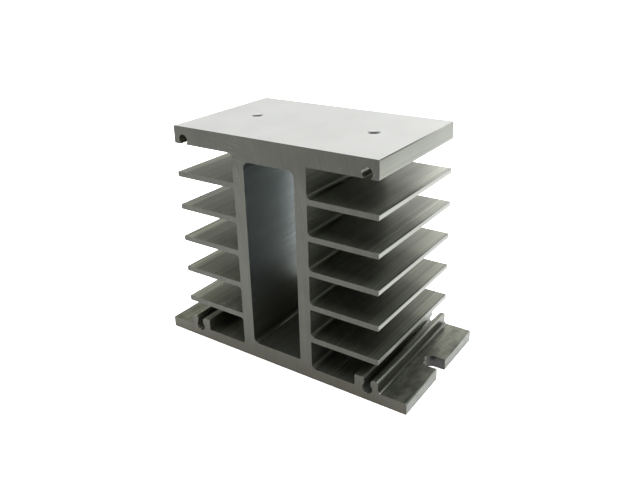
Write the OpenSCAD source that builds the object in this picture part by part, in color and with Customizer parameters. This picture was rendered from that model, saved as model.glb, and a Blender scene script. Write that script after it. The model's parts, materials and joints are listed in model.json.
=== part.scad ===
// Heat sink for a panel-mounted solid state relay: one aluminium extrusion, cut to length.
// Two webs carry a thick top plate over a base plate, and thin horizontal fins stand out from both webs.
// X runs across the extrusion, Y along it and Z up. The origin is on the underside, at the middle of the base.

/* [Extrusion] */
// Overall height, from the underside of the base to the relay seat
height = 81; // [79:0.5:90]
// Length that the extrusion is cut to
depth = 50; // [30:1:150]

/* [Top plate] */
// Width of the top plate, which the fin tips are flush with
plate_w = 80; // [78:0.5:90]
// Thickness of the top plate outside the webs
plate_t = 6.2; // [5.9:0.1:7]

/* [Base plate] */
// Width of the base plate, flanges included
base_w = 100; // [94:1:120]
// Thickness of the base plate outside the webs
base_t = 4.1; // [4:0.1:5]

/* [Webs and cavity] */
// Clear width between the two webs
cavity_w = 20; // [14:1:24]
// Thickness of each web
web_t = 4.6; // [3:0.2:6]
// Solid height above the cavity
cavity_roof_t = 8.3; // [6.2:0.1:10]
// Solid height below the cavity
cavity_floor_t = 6; // [4:0.1:8]
// Radius of the cavity's two upper corners
cavity_top_r = 2.2; // [0.5:0.1:4]
// Radius of the cavity's lower left corner
cavity_low_left_r = 1.7; // [0.3:0.1:4]
// Radius of the cavity's lower right corner
cavity_low_right_r = 0.5; // [0.3:0.1:4]

/* [Fins] */
// Fins on each side
fin_count = 5; // [2:1:8]
// Thickness of each fin
fin_t = 1.9; // [1.2:0.1:2.6]
// Radius at the fin roots that are filled out: the lower one on the right, the upper one on the left
root_r = 1.2; // [0.6:0.1:2]
// Radius at the other fin roots
root_tight_r = 0.4; // [0.2:0.1:1]
// Rounding of the fin tips
tip_r = 0.35; // [0.1:0.05:0.5]

/* [End screw channels] */
// Bore of the four channels that take thread-forming screws at both ends
channel_d = 3.7; // [3.3:0.1:3.8]
// Distance between the left and right channels
channel_span_x = 72; // [71.8:0.1:72.2]
// Distance between the lower and upper channels
channel_span_z = 72; // [71.8:0.1:72.2]
// Height of the lower channels above the underside
channel_low_z = 4.4; // [4.3:0.1:4.5]
// Width of the slit that opens each channel
channel_neck_w = 2.4; // [1.6:0.1:2.5]
// Height of the lips beside the lower channels, above the base plate
lip_h = 4; // [3.6:0.1:5]
// Distance from the middle of the extrusion to the inner side of the inner lip
lip_inner_x = 31.3; // [29:0.1:32]
// Distance from the middle of the extrusion to the outer side of the outer lip
lip_outer_x = 39.9; // [39.2:0.1:40]

/* [Relay screw holes] */
// Distance between the two tapped holes in the top plate
relay_span = 47.6; // [44:0.1:50]
// Tapping drill diameter of an M4 thread
tap_d = 3.3; // [2.5:0.1:4.2]
// Outer diameter of the countersink at each hole
countersink_d = 4.4; // [4.3:0.1:6]

/* [Flange slots] */
// Width of the open slot in each flange
slot_w = 6.4; // [4.3:0.1:7]
// Distance between the middles of the two slots' round ends
slot_span = 93; // [92:0.5:96]

/* [Edges] */
// Rounding of the long outer corners of both plates
edge_r = 0.35; // [0.1:0.05:0.6]

/* [Hidden] */

$fn = 64;
eps = 0.05; // overlap that keeps joined outlines from only touching
through = 1; // how far a cutter runs past the face it breaks through

plate_low_z = height - plate_t; // underside of the top plate
web_inner_x = cavity_w / 2;
web_outer_x = web_inner_x + web_t;
gap_h = (plate_low_z - base_t - fin_count * fin_t) / (fin_count + 1); // free height beside each fin
fin_pitch = gap_h + fin_t;
lip_top_z = base_t + lip_h;
channel_x = channel_span_x / 2;
channel_high_z = channel_low_z + channel_span_z;
lip_mouth_r = 1.3; // rounding of the lips where a screw or a slide enters between them
lip_outer_r = 0.5; // rounding of the outer lip's outer top corner
lip_inner_r = 0.3; // rounding of the inner lip's inner top corner
lip_foot_r = 1; // fillet between the outer lip and the flange
mouth_r = 0.2; // rounding of the upper channels' slits

// The sliver between a square corner and an arc, with the corner at the origin and the arc towards +X +Y.
// Added to an inside corner it is a fillet, and taken from an outside corner it rounds it.
module corner_sliver(r) {
    difference() {
        translate([-eps, -eps]) square(r + eps);
        translate([r, r]) circle(r);
    }
}

// Fills or rounds a corner at [x, z]. side_x and side_z are 1 or -1 and say which way the arc lies.
module corner_at(x, z, side_x, side_z, r) {
    translate([x, z]) flipped(side_x, side_z) corner_sliver(r);
}

// Flips its children left to right, top to bottom, both or neither.
module flipped(side_x, side_z) {
    mirror([side_x < 0 ? 1 : 0, 0]) mirror([0, side_z < 0 ? 1 : 0]) children();
}

// A bar across the extrusion, with all four long corners rounded.
module rounded_bar(width, low_z, high_z, r) {
    difference() {
        translate([-width / 2, low_z]) square([width, high_z - low_z]);
        for (side = [-1, 1]) {
            corner_at(side * width / 2, low_z, -side, 1, r);
            corner_at(side * width / 2, high_z, -side, -1, r);
        }
    }
}

// The two webs with the solid metal above and below the cavity.
module core_outline() {
    difference() {
        translate([-web_outer_x, 0]) square([2 * web_outer_x, height]);
        cavity_outline();
    }
}

// The tall hollow between the webs.
module cavity_outline() {
    low_z = cavity_floor_t;
    high_z = height - cavity_roof_t;
    difference() {
        translate([-web_inner_x, low_z]) square([cavity_w, high_z - low_z]);
        corner_at(-web_inner_x, high_z, 1, -1, cavity_top_r);
        corner_at(web_inner_x, high_z, -1, -1, cavity_top_r);
        corner_at(-web_inner_x, low_z, 1, 1, cavity_low_left_r);
        corner_at(web_inner_x, low_z, -1, 1, cavity_low_right_r);
    }
}

// The pairs of fins, evenly spaced between the base plate and the top plate.
module fins_outline() {
    for (k = [1:fin_count]) {
        fin_top_z = base_t + k * fin_pitch;
        rounded_bar(plate_w, fin_top_z - fin_t, fin_top_z, tip_r);
    }
}

// Fillets where the gaps between the fins meet the webs.
module fin_roots_outline() {
    for (k = [0:fin_count]) {
        low_z = base_t + k * fin_pitch;
        high_z = low_z + gap_h;
        corner_at(web_outer_x, low_z, 1, 1, root_r);
        corner_at(web_outer_x, high_z, 1, -1, root_tight_r);
        corner_at(-web_outer_x, low_z, -1, 1, root_tight_r);
        corner_at(-web_outer_x, high_z, -1, -1, root_r);
    }
}

// The two lips on the base plate at the right, before their screw channel is cut.
module lips_outline() {
    difference() {
        union() {
            translate([lip_inner_x, base_t - eps]) square([lip_outer_x - lip_inner_x, lip_h + eps]);
            corner_at(lip_outer_x, base_t, 1, 1, lip_foot_r);
        }
        corner_at(lip_inner_x, lip_top_z, 1, -1, lip_inner_r);
        corner_at(lip_outer_x, lip_top_z, -1, -1, lip_outer_r);
    }
}

// What the lower right channel removes: a round bore, a slit above it and the rounded mouth of the slit.
module low_channel_outline() {
    translate([channel_x, channel_low_z]) circle(d = channel_d);
    translate([channel_x - channel_neck_w / 2, channel_low_z])
        square([channel_neck_w, lip_top_z - channel_low_z + through]);
    for (side = [-1, 1])
        corner_at(channel_x + side * channel_neck_w / 2, lip_top_z, side, -1, lip_mouth_r);
}

// What the upper right channel removes: a round bore and a slit that opens downwards.
module high_channel_outline() {
    translate([channel_x, channel_high_z]) circle(d = channel_d);
    translate([channel_x - channel_neck_w / 2, plate_low_z - through])
        square([channel_neck_w, channel_high_z - plate_low_z + through]);
    for (side = [-1, 1])
        corner_at(channel_x + side * channel_neck_w / 2, plate_low_z, side, 1, mouth_r);
}

// The whole cross-section of the extrusion.
module section_outline() {
    difference() {
        union() {
            rounded_bar(base_w, 0, base_t, edge_r);
            rounded_bar(plate_w, plate_low_z, height, edge_r);
            core_outline();
            difference() {
                fins_outline();
                translate([-web_outer_x + eps, 0]) square([2 * (web_outer_x - eps), height]);
            }
            fin_roots_outline();
            lips_outline();
            mirror([1, 0]) lips_outline();
        }
        for (flip = [0, 1])
            mirror([flip, 0]) {
                low_channel_outline();
                high_channel_outline();
            }
    }
}

// A tapping-drill hole with a 90 degree countersink, down through the top plate.
module relay_hole() {
    countersink_h = (countersink_d - tap_d) / 2;
    translate([0, 0, plate_low_z - through]) cylinder(h = plate_t + 2 * through, d = tap_d);
    translate([0, 0, height - countersink_h])
        cylinder(h = countersink_h + eps, d1 = tap_d, d2 = countersink_d + 2 * eps);
}

// The open slot that takes a mounting screw in the right flange.
module flange_slot() {
    translate([slot_span / 2, 0, -through]) cylinder(h = base_t + 2 * through, d = slot_w);
    translate([slot_span / 2, -slot_w / 2, -through])
        cube([(base_w - slot_span) / 2 + through, slot_w, base_t + 2 * through]);
}

module heat_sink() {
    color("#55564f")
    difference() {
        rotate([90, 0, 0]) linear_extrude(height = depth, center = true) section_outline();
        for (side = [-1, 1]) translate([side * relay_span / 2, 0, 0]) relay_hole();
        for (flip = [0, 1]) mirror([flip, 0, 0]) flange_slot();
    }
}

heat_sink();
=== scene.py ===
"""Looks of the relay heat sink: its anodised finish, a pale floor, soft studio light and the camera."""

import json
import math

import bpy
from mathutils import Matrix, Vector


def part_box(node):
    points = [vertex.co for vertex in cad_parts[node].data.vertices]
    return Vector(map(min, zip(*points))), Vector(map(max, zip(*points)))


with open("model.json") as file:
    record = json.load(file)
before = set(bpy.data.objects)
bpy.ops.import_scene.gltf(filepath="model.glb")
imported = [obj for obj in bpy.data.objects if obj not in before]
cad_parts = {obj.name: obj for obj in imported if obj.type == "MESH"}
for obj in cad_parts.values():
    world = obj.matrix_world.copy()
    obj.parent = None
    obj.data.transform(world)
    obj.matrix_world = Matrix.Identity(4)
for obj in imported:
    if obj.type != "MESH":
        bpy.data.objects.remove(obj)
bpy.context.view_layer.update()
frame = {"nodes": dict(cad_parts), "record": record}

MM = 0.001

# Camera: it looks down at the front end face and at the fins on the right.
CAMERA_AIM = Vector((-1.1, 5.0, 53.4)) * MM
CAMERA_DISTANCE = 241.8 * MM
CAMERA_AZIMUTH = math.radians(34.72)
CAMERA_ELEVATION = math.radians(20.26)
CAMERA_ROLL = math.radians(-1.47)
CAMERA_LENS = 38.19
CAMERA_SHIFT_Y = -0.07

# Studio windows: name, azimuth and elevation in degrees (azimuth 0 is behind the part, 90 to its right),
# distance, width and height in metres, then brightness and colour.
WINDOWS = (
    ("left_window", -45, 48, 1.1, 0.8, 0.6, 0.9, (1.0, 0.99, 0.84)),
    ("right_window", 118, 46, 1.1, 1.0, 0.8, 2.75, (1.0, 1.0, 0.92)),
    ("back_window", 0, 17, 1.0, 0.8, 0.5, 2.9, (1.0, 1.0, 0.96)),
    ("back_left_window", -30, 17, 1.0, 0.6, 0.5, 0.25, (1.0, 0.99, 0.84)),
)

# One wide soft light overhead, and the even light of the rest of the room.
OVERHEAD = 7.7
OVERHEAD_WIDTH = math.radians(60)
OVERHEAD_COLOUR = (0.98, 1.0, 1.03)
ROOM_LIGHT = 0.5

# Places on the part, in metres. The seat, the ends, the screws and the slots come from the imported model.
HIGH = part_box("heat_sink")[1]
SEAT_Z = HIGH.z
END_Y = HIGH.y
MOUNTS = {mount["name"]: mount["dims"] for mount in frame["record"]["mounts"]}
SCREW_X = MOUNTS["relay_screws"]["spacing_x_mm"] * MM / 2
SLOT_R = MOUNTS["flange_slot_right"]["r_mm"] * MM
PLATE_Z = SEAT_Z - 6.2 * MM  # underside of the top plate
TIP_X = 40 * MM  # where the fins end
CAVITY_X = 10 * MM  # inner side of the webs
FINS_Z = 9 * MM  # just above the lips of the lower screw channels
FLANGE_Z = 5 * MM  # just above the flanges
BLADE_X, BLADE_Z = -190 * MM, 20 * MM  # middle of the saw blade
THREAD_PITCH = 0.7 * MM

# Finishes: linear base colours, then how metallic and how rough they are and how deep their marks go.
SKIN = (0.088, 0.092, 0.074)
SKIN_LEFT = (0.083, 0.087, 0.064)
# A painted bluish reflection for the upper cavity walls.
INSIDE_REFLECTION = (0.088, 0.100, 0.097)
SAWN = (0.037, 0.037, 0.028)
SAWN_BASE = (0.0365, 0.0335, 0.0215)
SEAT = (0.216, 0.216, 0.208)
BARE = (0.62, 0.62, 0.60)
SKIN_METAL = 0.84
SAWN_METAL = 0.45
SEAT_METAL = 0.35
# Less metallic in the bores and slot walls, which are painted dark as shade.
SHADED_HOLE_METAL = 0.1
INSIDE_ROUGH = 0.27
SEAT_ROUGH = 0.60
LINE_DEPTH = 0.003 * MM
SAW_DEPTH = 0.005 * MM
THREAD_DEPTH = 0.12 * MM


def spherical(azimuth, elevation):
    """A unit vector: azimuth from +Y towards +X, elevation above the floor, both in radians."""
    return Vector((
        math.sin(azimuth) * math.cos(elevation),
        math.cos(azimuth) * math.cos(elevation),
        math.sin(elevation),
    ))


def add_camera():
    """The camera at the photograph's viewing angle."""
    data = bpy.data.cameras.new("camera")
    data.lens = CAMERA_LENS
    data.sensor_width = 36.0
    data.shift_y = CAMERA_SHIFT_Y
    data.clip_start = 0.01
    data.clip_end = 50.0
    camera = bpy.data.objects.new("camera", data)
    back = spherical(math.pi - CAMERA_AZIMUTH, CAMERA_ELEVATION)
    aim = back.to_track_quat("Z", "Y").to_matrix().to_4x4()
    roll = Matrix.Rotation(CAMERA_ROLL, 4, "Z")
    camera.matrix_world = Matrix.Translation(CAMERA_AIM + back * CAMERA_DISTANCE) @ aim @ roll
    bpy.context.scene.collection.objects.link(camera)
    bpy.context.scene.camera = camera


def add_floor():
    """A wide pale floor, level with the underside of the base."""
    size = 40.0
    bpy.ops.mesh.primitive_plane_add(size=size, location=(0, 0, 0))
    floor = bpy.context.object
    floor.name = "floor"
    material = bpy.data.materials.new("floor_paper")
    material.use_nodes = True
    shader = material.node_tree.nodes["Principled BSDF"]
    shader.inputs["Base Color"].default_value = (0.9, 0.9, 0.9, 1)
    shader.inputs["Roughness"].default_value = 0.9
    floor.data.materials.append(material)


def add_window(name, azimuth, elevation, distance, width, height, brightness, colour):
    """A soft rectangular light that faces the part. It looks equally bright whatever its size."""
    data = bpy.data.lights.new(name, "AREA")
    data.shape = "RECTANGLE"
    data.size = width
    data.size_y = height
    data.energy = brightness * math.pi * width * height
    data.color = colour
    towards = spherical(math.radians(azimuth), math.radians(elevation))
    window = bpy.data.objects.new(name, data)
    facing = towards.to_track_quat("Z", "Y").to_matrix().to_4x4()
    window.matrix_world = Matrix.Translation(towards * distance) @ facing
    window.visible_camera = False
    bpy.context.scene.collection.objects.link(window)


def add_overhead():
    """A wide soft light straight above, which lights the whole floor evenly."""
    data = bpy.data.lights.new("overhead", "SUN")
    data.energy = OVERHEAD
    data.angle = OVERHEAD_WIDTH
    data.color = OVERHEAD_COLOUR
    overhead = bpy.data.objects.new("overhead", data)
    bpy.context.scene.collection.objects.link(overhead)


def add_world():
    """Even light from the rest of the room, and white behind everything."""
    world = bpy.data.worlds.new("studio")
    world.use_nodes = True
    nodes, links = world.node_tree.nodes, world.node_tree.links
    background = nodes["Background"]
    background.inputs["Color"].default_value = (1, 1, 1, 1)
    ray = nodes.new("ShaderNodeLightPath")
    strength = nodes.new("ShaderNodeMapRange")
    strength.inputs["To Min"].default_value = ROOM_LIGHT
    strength.inputs["To Max"].default_value = 1.0
    links.new(ray.outputs["Is Camera Ray"], strength.inputs["Value"])
    links.new(strength.outputs["Result"], background.inputs["Strength"])
    bpy.context.scene.world = world
    bpy.context.scene.view_settings.view_transform = "Standard"


class Recipe:
    """Adds nodes to a material. A value is a number, a tuple or another node's output.

    x, y, z and the normals are in the part's own frame. out_x and out_y are distances from its middle,
    and facing_x, facing_y and facing_z say how squarely a surface faces an axis, either way.
    """

    def __init__(self, name):
        self.material = bpy.data.materials.new(name)
        self.material.use_nodes = True
        self.nodes = self.material.node_tree.nodes
        self.links = self.material.node_tree.links
        self.shader = self.nodes["Principled BSDF"]
        self.place = self.nodes.new("ShaderNodeTexCoord").outputs["Object"]
        self.x, self.y, self.z = self.split(self.place)
        self.out_x = self.math("ABSOLUTE", self.x)
        self.out_y = self.math("ABSOLUTE", self.y)
        normal = self.nodes.new("ShaderNodeTexCoord").outputs["Normal"]
        self.normal_x, normal_y, self.normal_z = self.split(normal)
        self.facing_x = self.math("ABSOLUTE", self.normal_x)
        self.facing_y = self.math("ABSOLUTE", normal_y)
        self.facing_z = self.math("ABSOLUTE", self.normal_z)

    def put(self, value, socket):
        if isinstance(value, bpy.types.NodeSocket):
            self.links.new(value, socket)
        else:
            socket.default_value = value

    def math(self, operation, *values):
        node = self.nodes.new("ShaderNodeMath")
        node.operation = operation
        for value, socket in zip(values, node.inputs):
            self.put(value, socket)
        return node.outputs[0]

    def product(self, first, *others):
        for other in others:
            first = self.math("MULTIPLY", first, other)
        return first

    def vector(self, operation, *values):
        node = self.nodes.new("ShaderNodeVectorMath")
        node.operation = operation
        for value, socket in zip(values, node.inputs):
            self.put(value, socket)
        return node.outputs["Value" if operation in ("LENGTH", "DISTANCE") else "Vector"]

    def split(self, vector):
        node = self.nodes.new("ShaderNodeSeparateXYZ")
        self.put(vector, node.inputs[0])
        return node.outputs[0], node.outputs[1], node.outputs[2]

    def join(self, x, y, z):
        node = self.nodes.new("ShaderNodeCombineXYZ")
        for value, socket in zip((x, y, z), node.inputs):
            self.put(value, socket)
        return node.outputs[0]

    def step(self, value, low, high, to_low=0.0, to_high=1.0):
        """A smooth step: to_low where value is at low, to_high where it is at high. low may be the larger."""
        node = self.nodes.new("ShaderNodeMapRange")
        node.interpolation_type = "SMOOTHSTEP"
        for number, socket in zip((value, low, high, to_low, to_high), node.inputs):
            self.put(number, socket)
        return node.outputs[0]

    def spread(self, pattern, to_low, to_high):
        """A factor from to_low to to_high. It follows noise, which mostly lies between 0.3 and 0.7."""
        return self.step(pattern, 0.3, 0.7, to_low, to_high)

    def noise(self, vector, grain, detail=2.0, roughness=0.5):
        """Noise from 0 to 1 whose lumps are about grain metres apart along x, y and z."""
        node = self.nodes.new("ShaderNodeTexNoise")
        self.put(self.vector("DIVIDE", vector, grain), node.inputs["Vector"])
        node.inputs["Scale"].default_value = 1.0
        node.inputs["Detail"].default_value = detail
        node.inputs["Roughness"].default_value = roughness
        return node.outputs["Fac"]

    def mix(self, factor, low, high):
        node = self.nodes.new("ShaderNodeMix")
        for value, name in ((factor, 0), (low, 2), (high, 3)):
            self.put(value, node.inputs[name])
        return node.outputs[0]

    def within(self, mask, factor):
        """A factor that applies inside a mask and is 1 outside it."""
        return self.mix(mask, 1.0, factor)

    def mix_colour(self, factor, low, high):
        node = self.nodes.new("ShaderNodeMix")
        node.data_type = "RGBA"
        for value, name in ((factor, 0), (low, 6), (high, 7)):
            if isinstance(value, tuple):
                value = value + (1,)
            self.put(value, node.inputs[name])
        return node.outputs[2]

    def tint(self, colour, factor):
        """A colour made lighter or darker by factor."""
        node = self.nodes.new("ShaderNodeVectorMath")
        node.operation = "SCALE"
        self.put(colour, node.inputs[0])
        self.put(factor, node.inputs["Scale"])
        return node.outputs[0]

    def bump(self, height, metres, below=None):
        node = self.nodes.new("ShaderNodeBump")
        self.put(height, node.inputs["Height"])
        node.inputs["Distance"].default_value = metres
        if below is not None:
            self.put(below, node.inputs["Normal"])
        return node.outputs["Normal"]


class Places:
    """Masks from 0 to 1 that say where on the part each finish, each mark and each painted highlight or shade
    lies.
    """

    def __init__(self, r):
        self.in_cavity = r.step(r.out_x, CAVITY_X + MM, CAVITY_X)
        self.find_ends(r)
        self.find_seat(r)
        self.find_fins(r)
        self.find_flanges(r)

    def find_ends(self, r):
        """Both sawn ends and the eased edges around them."""
        at_end = r.step(r.out_y, END_Y - 0.3 * MM, END_Y - 0.2 * MM)
        self.on_end = r.product(r.step(r.facing_y, 0.6, 0.9), at_end)
        self.on_edge = r.product(r.step(r.facing_y, 0.12, 0.35), r.step(r.facing_y, 0.97, 0.85), at_end)

    def find_seat(self, r):
        """The relay seat with its two countersinks, and the tapped bores below them."""
        from_screw = r.vector("LENGTH", r.join(r.math("SUBTRACT", r.out_x, SCREW_X), r.y, 0.0))
        at_screw = r.product(r.step(from_screw, 3 * MM, 2.5 * MM), r.step(r.z, PLATE_Z - MM, PLATE_Z))
        at_top = r.step(r.z, SEAT_Z - 0.1 * MM, SEAT_Z - 0.02 * MM)
        on_face = r.product(at_top, r.step(r.normal_z, 0.8, 0.95))
        on_sink = r.product(at_screw, r.step(r.normal_z, 0.4, 0.6))
        self.on_seat = r.math("MAXIMUM", on_face, on_sink)
        self.in_bore = r.product(at_screw, r.step(r.facing_z, 0.6, 0.4))

    def find_fins(self, r):
        """The fin tips, their upper edges, where a dark line of shade is painted, and a strip on the upper
        sides near them, where a highlight is painted, fainter on the right.
        """
        on_fin = r.product(r.step(r.z, FINS_Z, FINS_Z + MM), r.step(r.z, PLATE_Z, PLATE_Z - MM))
        at_tip = r.step(r.out_x, TIP_X - 0.3 * MM, TIP_X - 0.1 * MM)
        self.on_tip = r.product(at_tip, r.facing_x, on_fin)
        # Painted shade: a dark line along the rounded upper edge of each fin tip.
        self.tip_edge_shade = r.product(
            r.step(r.normal_z, 0.1, 0.3),
            on_fin,
            r.step(r.out_x, TIP_X - 0.65 * MM, TIP_X - 0.5 * MM),
        )
        self.near_tip = r.product(
            r.step(r.out_x, TIP_X - 5.5 * MM, TIP_X - 3 * MM),
            on_fin,
            r.step(r.normal_z, 0.9, 0.95),
            r.step(r.x, MM, -MM, 0.25, 1.0),
        )

    def find_flanges(self, r):
        """The flanges, the walls of their slots and the corner at the foot of the outer lips. The slot walls
        and the corner get painted shade.
        """
        self.on_flange = r.product(
            r.step(r.out_x, TIP_X + 0.2 * MM, TIP_X + 0.6 * MM),
            r.step(r.z, FLANGE_Z + MM, FLANGE_Z),
        )
        # What looks straight out sideways is left out: the flange's edge, and the slot's innermost line.
        self.in_slot = r.product(
            self.on_flange,
            r.step(r.out_y, SLOT_R + 0.3 * MM, SLOT_R + 0.1 * MM),
            r.step(r.facing_z, 0.6, 0.4),
            r.step(r.normal_x, 0.9, 0.8),
            r.step(r.normal_x, -0.999, -0.9),
        )
        self.in_corner = r.product(
            r.step(r.out_x, TIP_X + 1.5 * MM, TIP_X + 0.8 * MM),
            r.step(r.z, FLANGE_Z + 0.4 * MM, FLANGE_Z),
            r.step(r.out_x, TIP_X - 0.2 * MM, TIP_X - 0.1 * MM),
        )


class Marks:
    """Patterns from 0 to 1 that the finishes share."""

    def __init__(self, r):
        # Die lines: streaks that run the length of the extrusion.
        self.fine_lines = r.noise(r.place, (0.8 * MM, 300 * MM, 0.8 * MM), detail=2, roughness=0.4)
        broad_lines = r.noise(r.place, (2.6 * MM, 420 * MM, 2.6 * MM), detail=1)
        self.lines = r.mix(0.5, self.fine_lines, broad_lines)

        # Saw lines: the blade's teeth leave arcs of a wide circle on both ends.
        from_blade = r.vector("DISTANCE", r.place, r.join(BLADE_X, r.y, BLADE_Z))
        arc_place = r.join(from_blade, 0.0, r.z)
        self.arcs = r.noise(arc_place, (0.6 * MM, 1.0, 40 * MM), detail=2, roughness=0.4)

        # Uneven dye, small specks where grit took it off, and stains.
        self.cloud = r.noise(r.place, (12 * MM, 18 * MM, 12 * MM), detail=3)
        grit = r.noise(r.place, (0.5 * MM, 0.8 * MM, 0.5 * MM), detail=1)
        self.speck = r.step(grit, 0.80, 0.83)
        self.stain = r.noise(r.place, (2.5 * MM, 5 * MM, 2.5 * MM), detail=4, roughness=0.6)


def colour_skin(r, places, marks):
    """The extruded surfaces: streaky, more olive on the left and stained on the flanges, with a painted
    highlight near the fin tips and painted shade on the tips' upper edges, in the bores, on the slot walls
    and in the corner at the lips' foot. The cavity has a painted bluish reflection high up, and painted shade
    low down and in its lower left corner."""
    # Painted highlight: the upper sides near the fin tips are lightened along the die lines.
    tip_sheen = r.product(places.near_tip, r.step(marks.fine_lines, 0.35, 0.6, 0.4, 1.0))
    stained = r.step(marks.stain, 0.35, 0.65, 0.7, 1.2)
    shade = r.product(
        r.spread(marks.lines, 0.78, 1.24),
        r.spread(marks.cloud, 0.92, 1.08),
        r.within(tip_sheen, 2.3),
        # Painted shade along the fin tips' upper edges.
        r.within(places.tip_edge_shade, 0.25),
        # Painted shade: the tapped bores are darkened.
        r.within(places.in_bore, 0.2),
        r.within(places.on_flange, stained),
        # Painted shade: the slot walls are darkened.
        r.within(places.in_slot, 0.1),
        # Painted shade: the corner at the foot of the outer lips is darkened where its fillet would catch
        # light.
        r.within(places.in_corner, 0.4),
    )
    olive = r.product(r.step(r.x, MM, -MM), r.within(places.near_tip, 0.2))
    outside = r.tint(r.mix_colour(olive, SKIN, SKIN_LEFT), shade)

    # Painted light in the cavity: a bluish reflection high up, and painted shade low down and in its lower
    # left corner.
    low, high = 10 * MM, 38 * MM
    low_corner_shade = r.product(r.step(r.x, -7.5 * MM, -8.5 * MM), r.step(r.z, 9 * MM, 8 * MM))
    inside_shade = r.product(shade, r.step(r.z, low, high, 0.72, 1.0), r.within(low_corner_shade, 0.55))
    inside = r.tint(r.mix_colour(r.step(r.z, low, high), SKIN, INSIDE_REFLECTION), inside_shade)
    return r.mix_colour(places.in_cavity, outside, inside)


def colour_sawn(r, marks):
    """The sawn ends: browner at the base, with painted shade on the top plate and to the right, a painted
    sheen on the left web, and scratched where the plate above it was scuffed."""
    flat_place = r.join(r.x, 0.0, r.z)
    sheen_centre = (-13 * MM, 0.0, 50 * MM)
    scuffed = (-17 * MM, 0.0, 76.5 * MM)
    colour = r.mix_colour(r.step(r.z, 8 * MM, 3 * MM), SAWN, SAWN_BASE)
    # Painted shade: darker towards the top plate and towards the right.
    colour = r.tint(colour, r.step(r.z, PLATE_Z - 8 * MM, PLATE_Z, 1.0, 0.81))
    colour = r.tint(colour, r.step(r.x, -10 * MM, 24 * MM, 1.04, 0.88))
    # Painted sheen: the left web is lightened around its middle.
    from_sheen_centre = r.vector("DISTANCE", flat_place, sheen_centre)
    colour = r.tint(colour, r.step(from_sheen_centre, 6 * MM, 26 * MM, 1.16, 1.0))
    colour = r.tint(colour, r.product(r.spread(marks.arcs, 0.92, 1.08), r.spread(marks.cloud, 0.90, 1.10)))

    slanted = r.join(r.x, 0.0, r.math("ADD", r.z, r.math("MULTIPLY", r.x, 0.15)))
    scratches = r.step(r.noise(slanted, (9 * MM, 1.0, 0.4 * MM), detail=1), 0.52, 0.68)
    from_scuffed = r.vector("DISTANCE", flat_place, scuffed)
    scratches = r.product(scratches, r.step(from_scuffed, 14 * MM, 4 * MM))
    return r.tint(colour, r.within(scratches, 1.4))


def colour_seat(r, marks):
    """The machined relay seat, with painted shade down the countersinks."""
    colour = r.tint(SEAT, r.spread(marks.cloud, 0.97, 1.03))
    # Painted shade: the countersinks darken towards their bottom.
    return r.tint(colour, r.step(r.z, SEAT_Z - 0.5 * MM, SEAT_Z - 0.1 * MM, 0.3, 1.0))


def relief(r, places, marks):
    """Bump: die lines, strongest on level faces, saw lines on the ends and turns of thread in the bores."""
    lines = r.product(
        marks.lines,
        r.step(r.facing_y, 0.5, 0.1),
        r.step(r.facing_z, 0.3, 0.9, 0.35, 1.0),
        r.within(places.on_seat, 0.1),
        r.within(places.in_cavity, 0.2),
    )
    normal = r.bump(lines, LINE_DEPTH)
    normal = r.bump(r.product(marks.arcs, places.on_end), SAW_DEPTH, below=normal)
    turn = r.math("ARCTAN2", r.y, r.math("SUBTRACT", r.out_x, SCREW_X))
    climb = r.math("MULTIPLY", r.z, 2 * math.pi / THREAD_PITCH)
    thread = r.math("SINE", r.math("ADD", climb, turn))
    return r.bump(r.product(thread, places.in_bore), THREAD_DEPTH, below=normal)


def anodised_aluminium():
    """Dark dyed anodising on the extruded skin, the sawn ends and the machined relay seat."""
    r = Recipe("anodised_aluminium")
    places = Places(r)
    marks = Marks(r)

    # Bare metal shows a little on the edges of the ends, at the specks and on the fin tips.
    wear = r.math("MAXIMUM", r.product(places.on_edge, 0.25), r.product(marks.speck, 0.4))
    wear = r.math("MAXIMUM", wear, r.product(places.on_tip, 0.10))

    colour = r.mix_colour(places.on_end, colour_skin(r, places, marks), colour_sawn(r, marks))
    colour = r.mix_colour(places.on_seat, colour, colour_seat(r, marks))
    colour = r.mix_colour(wear, colour, BARE)
    r.put(colour, r.shader.inputs["Base Color"])

    # The bores and the slot walls are painted dark as shade, and made less metallic.
    shaded_hole = r.math("MAXIMUM", places.in_bore, places.in_slot)
    metal = r.mix(places.on_end, r.mix(shaded_hole, SKIN_METAL, SHADED_HOLE_METAL), SAWN_METAL)
    metal = r.mix(places.on_seat, r.mix(wear, metal, 1.0), SEAT_METAL)
    r.put(metal, r.shader.inputs["Metallic"])

    rough = r.mix(places.in_cavity, r.spread(marks.lines, 0.31, 0.27), INSIDE_ROUGH)
    rough = r.mix(places.on_end, rough, r.spread(marks.arcs, 0.50, 0.42))
    rough = r.mix(places.on_seat, rough, SEAT_ROUGH)
    r.put(rough, r.shader.inputs["Roughness"])

    r.put(relief(r, places, marks), r.shader.inputs["Normal"])
    return r.material


def finish_heat_sink():
    """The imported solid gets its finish, and its faces are joined so that their sharp edges can be eased."""
    part = frame["nodes"]["heat_sink"]
    part.data.materials.clear()
    part.data.materials.append(anodised_aluminium())
    joined = part.modifiers.new("joined_faces", "WELD")
    joined.merge_threshold = 0.001 * MM
    eased = part.modifiers.new("eased_edges", "BEVEL")
    eased.width = 0.12 * MM
    eased.segments = 2
    eased.limit_method = "ANGLE"
    eased.angle_limit = math.radians(40)
    eased.harden_normals = True


add_camera()
add_floor()
add_world()
add_overhead()
for window in WINDOWS:
    add_window(*window)
finish_heat_sink()
